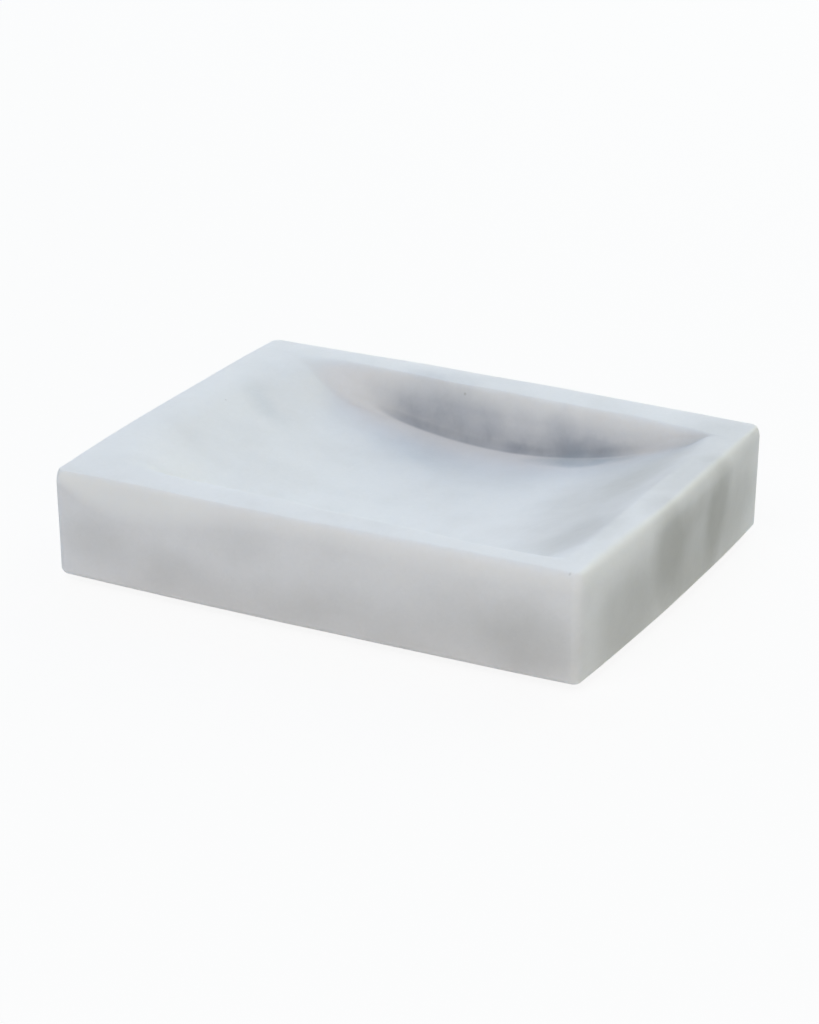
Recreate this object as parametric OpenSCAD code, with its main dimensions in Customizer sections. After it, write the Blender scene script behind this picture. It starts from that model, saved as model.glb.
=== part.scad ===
// Soap dish: one block of honed marble with a scooped basin, standing on four stick-on pads.
// Millimetres, +Z up. The origin is under the middle of the footprint, on the surface that
// the pads stand on. +X runs along the length, and -Y is the side seen from the front.

/* [Stone block] */
// Length of the block, across the middle of its ends
stone_l = 130; // [110:1:180]
// Width of the block, across the middle of its sides
stone_w = 100; // [80:1:140]
// Height of the block, without the pads
stone_h = 25; // [21:0.5:40]
// How far each long side swells outwards between its corners
side_bow = 1; // [0.3:0.1:3]
// How far each short end swells outwards between its corners
end_bow = 1.3; // [0.3:0.1:3]
// Radius of the four upright corners
corner_r = 3.6; // [2.5:0.1:12]
// Radius of the worn top and bottom edges
edge_r = 2.2; // [0.5:0.1:4]
// How much each side leans in from the top to the underside
side_lean = 0.3; // [0:0.1:2]

/* [Basin] */
// Rim left at each short end, where the basin floor runs out
end_rim = 8; // [5:0.5:20]
// Stone left between a long side and the foot of the basin wall
side_rim = 9.5; // [8:0.5:20]
// Depth of the basin at its middle
basin_depth = 15.5; // [8:0.5:17]
// Lean of the basin walls away from upright, in degrees
wall_draft = 5; // [2:1:12]
// Radius of the cove where the wall meets the floor
cove_r = 2.8; // [0.5:0.1:4]
// Radius of the softened lip along the top of the wall
lip_r = 2.4; // [0.5:0.1:3.5]

/* [Pads] */
// Diameter of a stick-on pad
pad_d = 10; // [6:0.5:16]
// Thickness of a pad
pad_h = 1.5; // [0.8:0.1:3]
// Distance of a pad's middle from the long side and from the short end
pad_inset = 15; // [12:0.5:30]
// Radius of the rounded lower edge of a pad
pad_edge_r = 0.5; // [0.1:0.1:0.7]

/* [Hidden] */

// How far a cut runs on into open air
overrun = 1;
// The lip keeps to this share of the wall's height where the wall runs out
lip_share = 0.45;
// The lip's cut stops where the wall is this low
lip_stop = 0.4;
// How far the lip's last step is carried on past the wall, as a share of that step
past_share = 0.5;

// Thickness of the thin slices that the block is drawn through
film = 0.01;

// Steps round an arc, and stations along the lip
arc_steps = 5;
lip_stations = 28;
round_fn = 36;
broad_fn = 900;

// Broad circles whose arcs are the swelling sides and ends
side_arc_r = (pow(stone_l / 2, 2) + pow(side_bow, 2)) / (2 * side_bow);
end_arc_r = (pow(stone_w / 2, 2) + pow(end_bow, 2)) / (2 * end_bow);

// The basin is the mark of a wheel: its rim rolls out the floor and its flanks leave the walls.
// The wheel's axle lies along Y, above the block.
top_z = pad_h + stone_h;
basin_half_l = stone_l / 2 - end_rim;
foot_y = stone_w / 2 - side_rim;
wheel_r = (pow(basin_half_l, 2) + pow(basin_depth, 2)) / (2 * basin_depth);
axle_rise = wheel_r - basin_depth;
axle_z = top_z + axle_rise;
cove_y = wall_y(wheel_r - cove_r) - cove_r / cos(wall_draft);

// Half width of the wheel at a distance r from its axle
function wall_y(r) = foot_y + (wheel_r - r) * tan(wall_draft);

// Distance of the block's top from the axle, looking down at an angle from upright
function top_r(angle) = axle_rise / cos(angle);

// The angle at which a height of wall is left
function angle_for(height) = acos(axle_rise / (wheel_r - height));

// Radius of the lip, which shrinks with the wall where the floor runs out
function lip_at(angle) = min(lip_r, lip_share * (wheel_r - top_r(angle)));

// A point at width y and distance r from the axle, turned into the block's own frame
function from_axle(y, r, angle) = [r * sin(angle), y, axle_z - r * cos(angle)];

// A point of the lip's arc, as its width and its distance from the axle, at a share of the way
// from the top of the block to the wall. The arc is tangent to both.
function lip_point(angle, share) =
  let (
    lip = lip_at(angle),
    mid_r = top_r(angle) + lip,
    mid_y = wall_y(mid_r) + lip / cos(wall_draft),
    turn = (90 - wall_draft) * share
  )
  [mid_y - lip * sin(turn), mid_r - lip * cos(turn)];

// One slice of what the lip takes off: the corner between the top and the wall, up to the arc.
// The arc's last step is carried on past the wall, so that the cut leaves the stone cleanly.
function lip_slice(angle) =
  let (
    arc = [for (step = [0:arc_steps - 1]) lip_point(angle, step / arc_steps)],
    before = arc[arc_steps - 1],
    past = before + (lip_point(angle, 1) - before) * (1 + past_share),
    air_y = past[0] - overrun,
    air_r = top_r(angle) - overrun
  )
  [for (p = concat([[air_y, air_r], [arc[0][0], air_r]], arc, [past, [air_y, past[1]]]))
    from_axle(p[0], p[1], angle)];

// The outline of the block: four broad arcs with the corners rounded off
module outline() {
  offset(r = corner_r, $fn = round_fn) offset(delta = -corner_r)
    intersection_for (side = [-1, 1])
      intersection() {
        translate([0, side * (stone_w / 2 - side_arc_r)]) circle(r = side_arc_r, $fn = broad_fn);
        translate([side * (stone_l / 2 - end_arc_r), 0]) circle(r = end_arc_r, $fn = broad_fn);
      }
}

// A thin slice of the block, drawn in from the full outline by an inset
module slice(inset) {
  linear_extrude(height = film) offset(delta = -inset) outline();
}

// The block before the basin is cut: slices that follow the rounding of its two edges
module blank() {
  hull()
    for (step = [0:arc_steps]) {
      turn = 90 * step / arc_steps;
      inset = edge_r * (1 - cos(turn));
      drop = edge_r * (1 - sin(turn));
      translate([0, 0, top_z - drop - film]) slice(inset);
      translate([0, 0, pad_h + drop]) slice(side_lean + inset);
    }
}

// The wheel whose mark is the basin: a broad rim, rounded edges and leaning flanks
module wheel() {
  edge = [for (step = [0:arc_steps])
    let (turn = (90 - wall_draft) * step / arc_steps)
    [wheel_r - cove_r + cove_r * cos(turn), cove_y + cove_r * sin(turn)]];
  flank = [0, wall_y(0)];
  half = concat([flank], [for (step = [arc_steps:-1:0]) edge[step]]);
  other_half = [for (i = [len(half) - 1:-1:0]) [half[i][0], -half[i][1]]];
  translate([0, 0, axle_z]) rotate([90, 0, 0])
    rotate_extrude($fn = broad_fn) polygon(concat(half, other_half));
}

// What the softened lip takes off along the top of one wall
module lip_cut() {
  reach = angle_for(lip_stop);
  slices = [for (i = [0:lip_stations]) lip_slice(reach * (2 * i / lip_stations - 1))];
  n = len(slices[0]);
  sides = [for (i = [0:lip_stations - 1], j = [0:n - 1])
    let (a = i * n + j, b = i * n + (j + 1) % n)
    each [[a, b, b + n], [a, b + n, a + n]]];
  first_end = [for (j = [1:n - 2]) [0, j + 1, j]];
  last = lip_stations * n;
  last_end = [for (j = [1:n - 2]) [last, last + j, last + j + 1]];
  polyhedron(points = [for (s = slices) each s], faces = concat(sides, first_end, last_end));
}

module marble_dish() {
  color("gainsboro")
    difference() {
      blank();
      wheel();
      lip_cut();
      mirror([0, 1, 0]) lip_cut();
    }
}

// One pad, flat on top where it sticks to the stone and rounded at its lower edge
module pad(side_x, side_y) {
  edge = [for (step = [0:arc_steps])
    let (turn = 90 * step / arc_steps)
    [pad_d / 2 - pad_edge_r * (1 - sin(turn)), pad_edge_r * (1 - cos(turn))]];
  color("whitesmoke")
    translate([side_x * (stone_l / 2 - pad_inset), side_y * (stone_w / 2 - pad_inset), 0])
      rotate_extrude($fn = round_fn)
        polygon(concat([[0, 0]], edge, [[pad_d / 2, pad_h], [0, pad_h]]));
}

marble_dish();
pad(-1, -1);  // pad_front_left
pad(1, -1);  // pad_front_right
pad(-1, 1);  // pad_back_left
pad(1, 1);  // pad_back_right
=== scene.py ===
# %% [markdown]
# This lesson dresses a soap dish that was ground out of one block of white marble. The packed
# model brings the block's true size and the four pads that it stands on. What the solids can't
# show is made here: a block with its hand finish, the veins that run through the stone, and
# the soft light of a product picture.
#
# Everything is in metres. +X runs along the dish, -Y is the long side seen from the front, and
# the pads stand on z = 0.

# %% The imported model
import math

import bpy
import numpy as np
from mathutils import Matrix, Vector


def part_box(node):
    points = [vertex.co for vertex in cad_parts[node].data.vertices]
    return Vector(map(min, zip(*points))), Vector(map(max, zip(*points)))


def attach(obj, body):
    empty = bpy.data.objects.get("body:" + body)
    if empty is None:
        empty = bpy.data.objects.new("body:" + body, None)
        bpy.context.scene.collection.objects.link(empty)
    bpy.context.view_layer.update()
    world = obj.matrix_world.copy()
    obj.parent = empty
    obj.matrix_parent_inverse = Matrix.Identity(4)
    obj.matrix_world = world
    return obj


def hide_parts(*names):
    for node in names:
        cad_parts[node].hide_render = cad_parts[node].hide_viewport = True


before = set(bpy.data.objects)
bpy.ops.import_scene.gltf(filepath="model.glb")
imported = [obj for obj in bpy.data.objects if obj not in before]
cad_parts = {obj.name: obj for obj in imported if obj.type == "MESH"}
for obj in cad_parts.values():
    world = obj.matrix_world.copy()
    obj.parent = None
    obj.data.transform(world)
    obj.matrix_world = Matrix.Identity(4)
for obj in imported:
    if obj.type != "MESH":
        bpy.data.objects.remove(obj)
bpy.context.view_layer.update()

block_low, block_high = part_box("marble_dish")
TOP = block_high.z
BASE = block_low.z
HALF_LENGTH = block_high.x
HALF_WIDTH = block_high.y
MILLIMETRES = 1000.0
print("block, millimetres:", [round(v * MILLIMETRES, 2) for v in block_high - block_low])

# %% [markdown]
# The camera comes first, because every later choice is judged through it. The picture was
# taken from well back with a long lens, so its lines converge only a little. The camera's
# direction is given by two angles, as a photographer would say it: how far it is walked round
# the dish, and how far it is tilted down. A position in its own sideways, upward and backward
# directions then sets the framing.

# %% Camera
IMAGE_HEIGHT = 1024
FOCAL_PIXELS = 3215
SENSOR = 36.0
CAMERA_YAW = math.radians(27.58)
CAMERA_TILT = math.radians(22.48)
CAMERA_DISTANCE = 0.726
CAMERA_ASIDE = -0.00094
CAMERA_ABOVE = 0.00842


def make_camera():
    """A camera that looks along the given yaw and tilt. Its matrix holds right, up and back."""
    forward = Vector((
        -math.sin(CAMERA_YAW) * math.cos(CAMERA_TILT),
        math.cos(CAMERA_YAW) * math.cos(CAMERA_TILT),
        -math.sin(CAMERA_TILT),
    ))
    right = Vector((math.cos(CAMERA_YAW), math.sin(CAMERA_YAW), 0.0))
    up = right.cross(forward)
    place = right * CAMERA_ASIDE + up * CAMERA_ABOVE - forward * CAMERA_DISTANCE
    place.z += BASE
    rotation = Matrix((right, up, -forward)).transposed()
    data = bpy.data.cameras.new("camera")
    data.lens = FOCAL_PIXELS * SENSOR / IMAGE_HEIGHT
    data.sensor_width = SENSOR
    camera = bpy.data.objects.new("camera", data)
    camera.matrix_world = Matrix.Translation(place) @ rotation.to_4x4()
    bpy.context.scene.collection.objects.link(camera)
    bpy.context.scene.camera = camera
    return camera


camera = make_camera()
print("camera stands at", [round(v, 3) for v in camera.matrix_world.translation])

# %% [markdown]
# The basin is the mark of a wheel that was lowered into the block with its axle across the
# dish. So the shape is easiest to think of round that axle: at each angle from upright, the
# top of the block lies at one distance from the axle, and the floor of the basin at another.
# The floor's distance is constant, because the wheel is round. Where the two meet, at each
# end, the floor runs out into the rim.
#
# A boolean cut would leave a hard corner there. The block is instead worked out as a surface,
# where a smooth maximum of the two distances rounds that corner. In the picture the left end
# runs out a little more softly than the right one, so each end has its own softness.

# %% The wheel and the two ends of its mark
END_RIM = 0.008
SIDE_RIM = 0.0103
BASIN_DEPTH = 0.0140
LEFT_SOFTNESS = 0.0020
RIGHT_SOFTNESS = 0.0015

basin_half_length = HALF_LENGTH - END_RIM
foot_y = HALF_WIDTH - SIDE_RIM
wheel_radius = (basin_half_length**2 + BASIN_DEPTH**2) / (2 * BASIN_DEPTH)
axle_rise = wheel_radius - BASIN_DEPTH
axle_z = TOP + axle_rise


def smooth_step(value, low, high):
    """0 below low, 1 above high, and a cubic S-curve between them."""
    t = np.clip((value - low) / (high - low), 0, 1)
    return t * t * (3 - 2 * t)


def basin_reach(softness):
    """How far along X the rounded end of the basin reaches: where the top is softness further
    from the axle than the wheel."""
    return axle_rise * math.tan(math.acos(axle_rise / (wheel_radius + softness)))


def floor_distance(angle, softness):
    """Distance of the floor from the axle: the larger of the wheel's radius and the top's
    distance. Where they differ by less than softness, a parabola rounds the corner."""
    top = axle_rise / np.cos(angle)
    near = np.clip(1 - np.abs(top - wheel_radius) / softness, 0, None)
    return np.maximum(top, wheel_radius) + near**2 * softness / 4


print("wheel radius, metres:", round(wheel_radius, 4))

# %% [markdown]
# Across the dish, one section of the basin is a chain of four curves: the rolled lip, the
# straight wall, which leans outwards a little, the cove and the floor. A hand-held polishing pad
# rolls a lip over unevenly: a quick turn where it leaves the top, then a long slow curve down the
# wall. A quarter of a tall, narrow ellipse has just that form. Sheared to the wall's lean, it
# stays tangent to both the top and the wall. The cove is a small quarter ellipse too.
#
# Towards the ends the wall gets lower, and the lip and the cove have to share what is left of it.
# So each of their sizes is held below a share of the depth, by a soft minimum that gives no kink.

# %% One side of a section
WALL_DRAFT = math.radians(0.5)
LIP_WIDTH = 0.0016
LIP_WIDTH_GAIN = 0.012
LIP_DROP = 0.0065
SWAY_DEPTH = 0.12
SWAY_WAVES = ((210, 1.0), (333, 2.0))
COVE_WIDTH = 0.0017
COVE_RISE = 0.0019
DROP_SHARE = 0.62
RISE_SHARE = 0.30
WIDTH_SHARE = 0.9
LIP_CELLS = 12
WALL_CELLS = 8
COVE_CELLS = 6
DOWN_CELLS = LIP_CELLS + WALL_CELLS + COVE_CELLS


def up_to(limit, size):
    """A soft minimum: close to size while that is small, and never above limit."""
    return limit * np.tanh(size / limit)


def wall(distance):
    """Half width of the wheel's leaning flank at a distance from its axle: that of the foot, and
    for each step up from there the tangent of the draft more."""
    return foot_y + (wheel_radius - distance) * math.tan(WALL_DRAFT)


def roll(cells):
    """A rolled edge as two rows of shares: how much of its width is still left, from 1 to 0, and
    how much of its drop is done, from 0 to 1. They are 1 less the sine and 1 less the cosine of
    an even turn, so the edge is a quarter of an ellipse."""
    turn = np.linspace(0, math.pi / 2, cells + 1)
    return 1 - np.sin(turn), 1 - np.cos(turn)


def side_section(top, depth, along):
    """Lip, wall and cove of each section, before any melting, as widths and distances from the
    axle. Along the dish the lip gets wider by a straight line, and sways by two sine waves."""
    bottom = top + depth
    sway = 1 + SWAY_DEPTH * sum(np.sin(along * n + phase) for n, phase in SWAY_WAVES)
    lip_width = up_to((LIP_WIDTH + LIP_WIDTH_GAIN * along) * sway, WIDTH_SHARE * depth)
    lip_drop = up_to(LIP_DROP, DROP_SHARE * depth)
    cove_width = up_to(COVE_WIDTH, WIDTH_SHARE * depth)
    cove_rise = up_to(COVE_RISE, RISE_SHARE * depth)
    back, down = roll(LIP_CELLS)
    lip_r = top + lip_drop * down[None, :]
    lip_y = wall(lip_r) + lip_width * back[None, :]
    turn = np.linspace(0, math.pi / 2, COVE_CELLS + 1)[None, :]
    cove_r = bottom - cove_rise * (1 - np.sin(turn))
    cove_y = wall(cove_r) - cove_width * (1 - np.cos(turn))
    down = np.linspace(0, 1, WALL_CELLS + 1)[None, 1:-1]
    wall_r = lip_r[:, -1:] + (cove_r[:, :1] - lip_r[:, -1:]) * down
    return np.hstack([lip_y, wall(wall_r), cove_y]), np.hstack([lip_r, wall_r, cove_r])


print("steps down one side:", DOWN_CELLS)

# %% [markdown]
# Near the left end, and a little at the right, the picture shows no edge and no line at all:
# there the wall melts into the floor. So the section turns step by step into one soft S-curve,
# which is wider than it is deep. Both curves have the same number of points, so each point only
# slides from its place on the one to its place on the other.
#
# Where the basin fades out, the points down its side would all fall on one spot. A last small
# term keeps them apart there.

# %% Half a section, and where it melts
LEFT_MELT = (0.020, 0.046)
RIGHT_MELT = (0.034, 0.056)
RIGHT_MELT_SHARE = 0.75
MELTED_SPAN = 0.010
MELTED_SLOPE = 1.7
MELTED_BACK = 0.25
CROWDING = 0.00002
CROWDING_DEPTH = 0.001
FLOOR_CELLS = 45


def melting(along):
    """How far the section is melted into one soft curve, from 0 to 1, at each place along X."""
    return smooth_step(-along, *LEFT_MELT) + RIGHT_MELT_SHARE * smooth_step(along, *RIGHT_MELT)


def half_section(angle, along):
    """Half of each section, from the lip's outer end down to the middle of the floor, as widths
    and distances from the axle. Both arrays have a row for each angle. The melted curve goes
    inwards evenly and down by an S-curve. Each point lies between its place on the sharp curve
    and its place on the melted one, and the floor's points share out the rest evenly."""
    softness = np.where(along < 0, LEFT_SOFTNESS, RIGHT_SOFTNESS)
    top = (axle_rise / np.cos(angle))[:, None]
    bottom = floor_distance(angle, softness)[:, None]
    depth = np.maximum(bottom - top, 0)
    side_y, side_r = side_section(top, depth, along[:, None])

    melt = melting(along)[:, None]
    share = np.linspace(0, 1, side_y.shape[1])[None, :]
    melted_y = wall(top) + up_to(MELTED_SPAN, MELTED_SLOPE * depth) * (MELTED_BACK - share)
    melted_r = top + depth * smooth_step(share, 0, 1)
    side_y = side_y + (melted_y - side_y) * melt
    side_r = side_r + (melted_r - side_r) * melt

    inwards = np.linspace(0, 1, FLOOR_CELLS + 1)[None, 1:]
    width = np.hstack([side_y, side_y[:, -1:] * (1 - inwards)])
    distance = np.hstack([side_r, bottom + 0 * inwards])
    before_floor = np.clip(side_y.shape[1] - 1 - np.arange(width.shape[1]), 0, None)
    return width + CROWDING * before_floor * np.exp(-depth / CROWDING_DEPTH), distance


print("points of half a section:", DOWN_CELLS + 1 + FLOOR_CELLS)

# %% [markdown]
# Two things in the picture break the wheel's even mark. At the right end the floor meets the rim
# in a crisp line, which fades out behind the middle. And where the basin's corners fade out, the
# surface has come up to the rim before the wheel's mark would. Both are made by moving points
# towards the top, by S-curves along and across the dish, so neither leaves an edge of its own.

# %% A crisp line and filled corners
CRISP_SOFTNESS = 0.00035
CRISP_UNTIL = (0.006, 0.034)
# where the filling starts and ends along the dish, then across it
LEFT_FILL = (0.033, 0.053, 0.014, 0.043)
RIGHT_FILL = (0.050, 0.060, 0.028, 0.042)
HARDLY_ANY = 1e-9


def crisp_right_end(angle, along, width, distance):
    """Raises the right end of the floor where it meets the rim, from the front to a little
    behind the middle: there the softness falls to its crisp value. The lip and the wall follow
    by their depth's share."""
    top = (axle_rise / np.cos(angle))[:, None]
    bottom = floor_distance(angle, RIGHT_SOFTNESS)
    gap = np.where(along > 0, bottom - floor_distance(angle, CRISP_SOFTNESS), 0)[:, None]
    share = np.clip((distance - top) / np.maximum(bottom[:, None] - top, HARDLY_ANY), 0, 1)
    return distance - gap * share * (1 - smooth_step(width, *CRISP_UNTIL))


def fill_corners(angle, along, width, distance):
    """Raises the surface to the top where the basin's corners fade out: the share of the depth
    that is filled grows along the dish and across it, both by S-curves."""
    top = (axle_rise / np.cos(angle))[:, None]
    filled = 0
    for side, (start, end, near, far) in ((-1, LEFT_FILL), (1, RIGHT_FILL)):
        onwards = smooth_step(side * along, start, end)[:, None]
        filled = filled + onwards * smooth_step(np.abs(width), near, far)
    return distance + (top - distance) * filled


print("the crisp line fades out between", *np.round(np.multiply(CRISP_UNTIL, MILLIMETRES)), "mm")

# %% [markdown]
# Stacking the sections along the dish gives a grid of points, one row a section. The rows stand
# closer together towards the ends, where the floor runs out into the rim. In the picture each
# long rim gets wider towards one end, the back one to the right and the front one to the left.
# So the whole basin is laid a little askew in the block.

# %% The grid of the basin
STATION_CELLS = 160
SKEW = 0.035


def stations():
    """Places along X on the top plane, closer together towards the ends by a sine."""
    t = np.sin(np.linspace(-1, 1, STATION_CELLS + 1) * math.pi / 2)
    reach = np.where(t < 0, basin_reach(LEFT_SOFTNESS), basin_reach(RIGHT_SOFTNESS))
    return t * reach


def way_from_crease(width, distance):
    """Each point's way, along its half section, to the middle of the cove: the steps between
    neighbours are summed up, and the sum at the cove is taken off."""
    step = np.hypot(np.diff(width, axis=1), np.diff(distance, axis=1))
    travelled = np.hstack([np.zeros((len(width), 1)), np.cumsum(step, axis=1)])
    crease = LIP_CELLS + WALL_CELLS + COVE_CELLS // 2
    return np.abs(travelled - travelled[:, crease:crease + 1])


def whole(half, front_sign=1):
    """Whole sections from their halves: the front half, times its sign, and then the back half,
    which is the same columns in reverse. The middle column comes once."""
    return np.hstack([front_sign * half, half[:, -2::-1]])


def basin_grid():
    """The basin as points[station, place across]. Each section is turned about the axle to its
    angle: x is distance times sine, and z is the axle's height less distance times cosine. The
    basin lies a little askew, so y is less by SKEW for each step along x. With the points comes
    each one's way to the crease."""
    along = stations()
    angle = np.arctan(along / axle_rise)
    half_width, half_distance = half_section(angle, along)
    from_crease = whole(way_from_crease(half_width, half_distance))
    width = whole(half_width, -1)
    distance = crisp_right_end(angle, along, width, whole(half_distance))
    distance = fill_corners(angle, along, width, distance)
    x = distance * np.sin(angle)[:, None]
    z = axle_z - distance * np.cos(angle)[:, None]
    return np.stack([x, width - SKEW * x, z], axis=2), from_crease


grid, from_crease = basin_grid()
print("basin grid:", grid.shape, "lowest point at z", round(grid[..., 2].min(), 5))

# %% [markdown]
# Outside the basin the block is a set of closed rings, from the rim down to the middle of the
# underside. A ring is an inset of the block's outline. Every outline point is kept as a core
# point and a direction, so an inset is only a shorter step in that direction, and the round
# corners stay round. The sides and ends swell a little between the corners, as in the picture.
#
# The first ring is the border of the basin's grid, so the whole block is one closed skin with
# no seam. Each corner of the basin, where the sections crowd, feeds one round corner.

# %% The outline, ready to be inset
SIDE_BOW = 0.0010
END_BOW = 0.0013
CORNER_RADIUS = 0.0025
CORNER_CELLS = DOWN_CELLS
SETTLING_ROUNDS = 5


def unit(vectors):
    """The same directions, each of length 1."""
    return vectors / np.linalg.norm(vectors, axis=-1, keepdims=True)


def bowed_side(places, half_span, reach, bow):
    """A side that faces +X and swells by a parabola, bow deep over its whole span: its core
    points, which lie a corner's radius inside it, and the directions square to it."""
    core = np.stack([reach - CORNER_RADIUS - bow * (places / half_span) ** 2, places], axis=1)
    slope = 2 * bow * places / half_span**2
    return core, unit(np.stack([np.ones_like(slope), slope], axis=1))


def corner_arc(core, before, after):
    """A round corner: one core point, and directions that turn evenly from before to after."""
    ends = [math.atan2(y, x) for x, y in (before, after)]
    turn = np.linspace(*ends, CORNER_CELLS + 1)[1:-1]
    return np.tile(core, (len(turn), 1)), np.stack([np.cos(turn), np.sin(turn)], axis=1)


def outline():
    """The whole outline as core points and directions, in step with the border of the basin's
    grid. It starts at the front's left end. The second half is the first, turned half round.
    Each bow draws the other side's corner in, so the corner's place settles in a few rounds."""
    core_x = HALF_LENGTH - CORNER_RADIUS
    core_y = HALF_WIDTH - CORNER_RADIUS
    for _ in range(SETTLING_ROUNDS):
        core_x = HALF_LENGTH - CORNER_RADIUS - END_BOW * (core_y / HALF_WIDTH) ** 2
        core_y = HALF_WIDTH - CORNER_RADIUS - SIDE_BOW * (core_x / HALF_LENGTH) ** 2
    quarter_turn = np.array([[0, -1], [1, 0]])
    along = np.sin(np.linspace(-1, 1, STATION_CELLS + 1) * math.pi / 2) * core_x
    across = np.linspace(-core_y, core_y, 2 * FLOOR_CELLS + 1)
    front = [a @ quarter_turn for a in bowed_side(along, HALF_LENGTH, HALF_WIDTH, SIDE_BOW)]
    end = bowed_side(across, HALF_WIDTH, HALF_LENGTH, END_BOW)
    first = corner_arc(end[0][0], front[1][-1], end[1][0])
    second = corner_arc(end[0][-1], end[1][-1], -front[1][0])
    half = [np.vstack(parts) for parts in zip(front, first, end, second)]
    return [np.vstack([part, -part]) for part in half]


core, facing = outline()
print("points round the outline:", len(core))

# %% [markdown]
# The block's upper edge was rolled over by the same hand as the lip, so it is a tall quarter of
# an ellipse too. Real edges on a hand-ground block aren't even, because the pad takes a little
# more here and less there: from one to three millimetres in from the side, and from two to nine
# down it. So the ellipse varies round the outline by a few slow sine waves, and by worn places
# that the picture shows. One corner stayed sharper.

# %% The upper edge
EDGE_INSET = 0.0009
EDGE_DROP = 0.0018
EDGE_VARIATION = 0.16
EDGE_WAVES = (3, 5, 8, 13)
INSET_PHASE = 1.3
DROP_PHASE = 2.6
WORN_PLACES = (
    # x and y of the place, how far it reaches, and what it adds to the inset and the drop; the
    # first lies outside the block, so only the fringe of its bell curve counts
    (-0.044, -0.060, 0.022, 0.0010, 0.0100),
    (-0.010, -0.050, 0.025, 0.0006, 0.0020),
    (0.030, -0.050, 0.026, 0.0016, 0.0034),
    (0.065, -0.030, 0.022, 0.0022, 0.0030),
    (0.065, 0.020, 0.026, 0.0016, 0.0025),
    (-0.065, 0.000, 0.036, 0.0004, 0.0010),
    (-0.065, -0.050, 0.006, -0.0004, -0.0040),
)
CAP_SLOPE = 0.5


def uneven(phase):
    """A factor near 1 at each outline point: slow waves in the angle round the block. The whole
    numbers of waves close up after one turn."""
    round_angle = np.arctan2(core[:, 1], core[:, 0])
    waves = sum(np.sin(n * round_angle + phase * n * n) / n for n in EDGE_WAVES)
    return 1 + EDGE_VARIATION * waves


def upper_edge_size():
    """Inset and drop of the upper edge's ellipse at each outline point: each worn place adds its
    share by a bell curve. At a corner the inset is held below the corner's radius, or the rings
    would turn inside out there, and further off below that plus half the way to the corner."""
    inset = EDGE_INSET * uneven(INSET_PHASE)
    drop = EDGE_DROP * uneven(DROP_PHASE)
    for x, y, reach, more_inset, more_drop in WORN_PLACES:
        near = np.exp(-((core[:, 0] - x) ** 2 + (core[:, 1] - y) ** 2) / reach**2)
        inset = inset + more_inset * near
        drop = drop + more_drop * near
    corner = np.abs(core[STATION_CELLS + 1])
    from_corner = np.hypot(*(np.abs(core) - corner).T)
    return up_to(CORNER_RADIUS + CAP_SLOPE * from_corner, inset), drop


edge_inset, edge_drop = upper_edge_size()
for name, size in (("in", edge_inset), ("down", edge_drop)):
    smallest, largest = np.round(np.array([size.min(), size.max()]) * MILLIMETRES, 1)
    print("upper edge, millimetres", name, smallest, "to", largest)

# %% [markdown]
# The rings run down the block in five stages: over the rim, round the upper edge, down the side,
# round the lower edge and in along the underside. The sides lean in a little, and the lower edge
# stays tight, as in the picture. Its radius varies round the outline by waves of its own.

# %% The rings
LOWER_RADIUS = 0.0016
LOWER_PHASE = 4.1
SIDE_LEAN = 0.0003
RIM_CELLS = 8
EDGE_CELLS = 12
SIDE_CELLS = 14
UNDER_CELLS = 10


def ring(inset, z):
    """One closed ring at height z: each core point, and from it along its direction the corner's
    radius less the inset."""
    plan = core + (CORNER_RADIUS - inset)[:, None] * facing
    return np.column_stack([plan, z])


def between(first, last, cells):
    """The rings that divide the way from one ring to another evenly, without these two."""
    return [first + (last - first) * s for s in np.linspace(0, 1, cells + 1)[1:-1]]


def block_rings(border):
    """All rings from the basin's border to the middle of the underside: rim, upper edge, side,
    lower edge, underside. Each edge follows a quarter of an ellipse."""
    lower = LOWER_RADIUS * uneven(LOWER_PHASE)
    shares = list(zip(*roll(EDGE_CELLS)))
    upper_edge = [ring(edge_inset * back, TOP - edge_drop * down) for back, down in shares]
    lower_edge = [ring(SIDE_LEAN + lower * down, BASE + lower * back) for back, down in shares]
    middle = np.array([[0, 0, BASE]])
    rim = between(border, upper_edge[0], RIM_CELLS)
    side = between(upper_edge[-1], lower_edge[0], SIDE_CELLS)
    under = between(lower_edge[-1], middle, UNDER_CELLS)
    return rim + upper_edge + side + lower_edge + under + [middle]


def ring_wear_and_highlight():
    """How worn each ring is, in the same order, which also sets its painted highlight: most in the
    middle of an edge's curve, as the sine of twice the turn, and nothing on the flats."""
    edge = list(np.sin(2 * np.linspace(0, math.pi / 2, EDGE_CELLS + 1)))
    return [0] * (RIM_CELLS - 1) + edge + [0] * (SIDE_CELLS - 1) + edge + [0] * UNDER_CELLS


print("rings:", len(ring_wear_and_highlight()))

# %% [markdown]
# The skin is put together from whole arrays. The basin's grid gives its own four-sided faces,
# each pair of neighbouring rings gives a band of them, and the last ring closes in a fan of
# triangles. The volume under the skin is a quick test that every face looks outwards: it comes
# out negative if they look in.

# %% The closed skin
CENTIMETRES = 100.0


def grid_quads(rows, columns):
    """Faces of a grid whose points are numbered row by row."""
    start = np.arange(rows - 1)[:, None] * columns + np.arange(columns - 1)[None, :]
    corners = [start, start + columns, start + columns + 1, start + 1]
    return np.stack(corners, axis=-1).reshape(-1, 4)


def border_loop(rows, columns):
    """Point numbers round a grid's border, from its first point along the first column."""
    numbered = np.arange(rows * columns).reshape(rows, columns)
    return np.concatenate([
        numbered[:, 0], numbered[-1, 1:-1], numbered[::-1, -1], numbered[0, -2:0:-1],
    ])


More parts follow.
